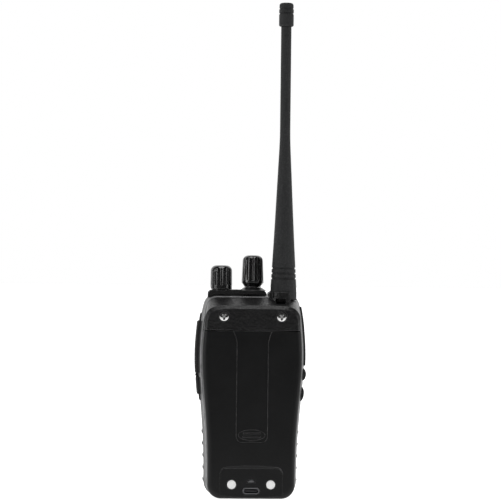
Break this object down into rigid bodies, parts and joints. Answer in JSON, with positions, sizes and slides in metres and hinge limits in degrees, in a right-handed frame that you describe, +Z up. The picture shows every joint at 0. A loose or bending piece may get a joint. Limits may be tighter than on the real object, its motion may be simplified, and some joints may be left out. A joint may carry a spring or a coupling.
{
  "type": "two way radio",
  "caption": "Handheld two way radio with a long whip antenna, two top knobs, side keys and a slide-on battery that charges through a port in its back.",
  "frame": {"origin": "middle of the flat underside on which the radio stands", "axes": "+Z up along the antenna; -Y is the speaker side; +Y is the battery side; +X is the side of the jack cover"},
  "size_m": [0.0619, 0.0331, 0.2719],
  "materials": {
    "case_black": "satin, finely grained",
    "battery_black": "satin, finely grained",
    "chassis_black": "satin paint over die casting",
    "knob_black": "half gloss",
    "key_black": "matte rubber",
    "latch_black": "satin",
    "antenna_rubber": "matte rubber",
    "seal_rubber": "soft matte",
    "plated_steel": "bright zinc plate",
    "nickel": "nickel plate",
    "shaft_metal": "turned",
    "gold_brass": "gold plate",
    "copper_wire": "enamelled copper",
    "spring_steel": "drawn wire",
    "board_green": "solder mask",
    "shield_tin": "tinned sheet",
    "part_black": "moulded",
    "microphone_metal": "spun can",
    "magnet_grey": "ground ferrite",
    "cone_paper": "treated paper",
    "grille_fabric": "woven felt",
    "plate_silver": "brushed, dark",
    "cell_wrap": "wrapped pouch",
    "clear_lens": "clear",
    "lamp_white": "phosphor",
    "pipe_smoke": "frosted",
    "mark_white": "filled mark"
  },
  "bodies": {
    "root": {"antenna_socket": "gold_brass", "battery_blades": "nickel", "board_screws": "plated_steel", "case_screws": "plated_steel", "case_seal": "seal_rubber", "channel_switch": "part_black", "chassis": "chassis_black", "clip_screws": "plated_steel", "front_case": "case_black", "grille_cloth": "grille_fabric", "jack_block": "part_black", "jack_cover_anchor": "key_black", "knob_ring_nuts": "nickel", "latch_spring": "spring_steel", "main_pcb": "board_green", "microphone": "microphone_metal", "microphone_boot": "seal_rubber", "name_plate": "plate_silver", "power_transistor": "part_black", "processor_chip": "part_black", "shield_can": "shield_tin", "side_key_rubber": "seal_rubber", "side_switches": "part_black", "speaker_cone": "cone_paper", "speaker_frame": "shield_tin", "speaker_magnet": "magnet_grey", "status_light_pipe": "pipe_smoke", "top_trim": "case_black", "torch_lamp": "lamp_white", "torch_lens": "clear_lens", "volume_pot": "part_black"},
    "antenna_pin_body": {"antenna_pin": "gold_brass"},
    "antenna": {"antenna_sleeve": "antenna_rubber", "antenna_ferrule": "gold_brass", "antenna_whip": "spring_steel", "antenna_coil": "copper_wire", "antenna_tip_cap": "antenna_rubber"},
    "volume": {"volume_knob": "knob_black", "volume_shaft": "shaft_metal", "volume_pointer": "mark_white"},
    "channel": {"channel_knob": "knob_black", "channel_shaft": "shaft_metal", "channel_pointer": "mark_white"},
    "ptt": {"ptt_button": "key_black"},
    "key_upper": {"side_key_upper": "key_black"},
    "key_lower": {"side_key_lower": "key_black"},
    "jack_flap": {"jack_cover": "key_black"},
    "latch": {"battery_latch": "latch_black"},
    "battery": {"battery_cover": "battery_black", "battery_inner_plate": "battery_black", "battery_cell": "cell_wrap", "charging_board": "board_green", "battery_foam_pad": "seal_rubber", "battery_terminals": "nickel", "charge_contacts": "nickel", "usb_shell": "nickel", "usb_tongue": "part_black", "charge_light_pipe": "pipe_smoke"}
  },
  "joints": [
    {"name": "antenna_rise", "type": "slide", "parent": "root", "child": "antenna_pin_body", "axis": [0, 0, 1], "range_m": [0, 0.00353]},
    {"name": "antenna_turn", "type": "hinge", "parent": "antenna_pin_body", "child": "antenna", "pos_m": [-0.0173, 0, 0.1084], "axis": [0, 0, 1], "range_deg": [0, 1800]},
    {"name": "volume_turn", "type": "hinge", "parent": "root", "child": "volume", "pos_m": [0.01685, -0.0055, 0.1138], "axis": [0, 0, 1], "range_deg": [-300, 0]},
    {"name": "channel_turn", "type": "hinge", "parent": "root", "child": "channel", "pos_m": [-0.0005, -0.0055, 0.1138], "axis": [0, 0, 1], "range_deg": [-337.5, 0]},
    {"name": "ptt_press", "type": "slide", "parent": "root", "child": "ptt", "axis": [1, 0, 0], "range_m": [0, 0.0008], "stiffness_N_per_m": 1500, "springref_m": -0.0006},
    {"name": "side_key_upper_press", "type": "slide", "parent": "root", "child": "key_upper", "axis": [1, 0, 0], "range_m": [0, 0.0006], "stiffness_N_per_m": 1500, "springref_m": -0.0006},
    {"name": "side_key_lower_press", "type": "slide", "parent": "root", "child": "key_lower", "axis": [1, 0, 0], "range_m": [0, 0.0006], "stiffness_N_per_m": 1500, "springref_m": -0.0006},
    {"name": "jack_cover_swing", "type": "hinge", "parent": "root", "child": "jack_flap", "pos_m": [0.0304, -0.0063, 0.0661], "axis": [0, 1, 0], "range_deg": [0, 105]},
    {"name": "battery_latch_slide", "type": "slide", "parent": "root", "child": "latch", "axis": [0, -1, 0], "range_m": [0, 0.002], "stiffness_N_per_m": 500, "springref_m": -0.001},
    {"name": "battery_slide", "type": "slide", "parent": "root", "child": "battery", "axis": [0, 0, -1], "range_m": [0, 0.012]}
  ],
  "couplings": [
    {"joint": "antenna_turn", "follows": "antenna_rise", "rad_per_m": 8904.7}
  ]
}
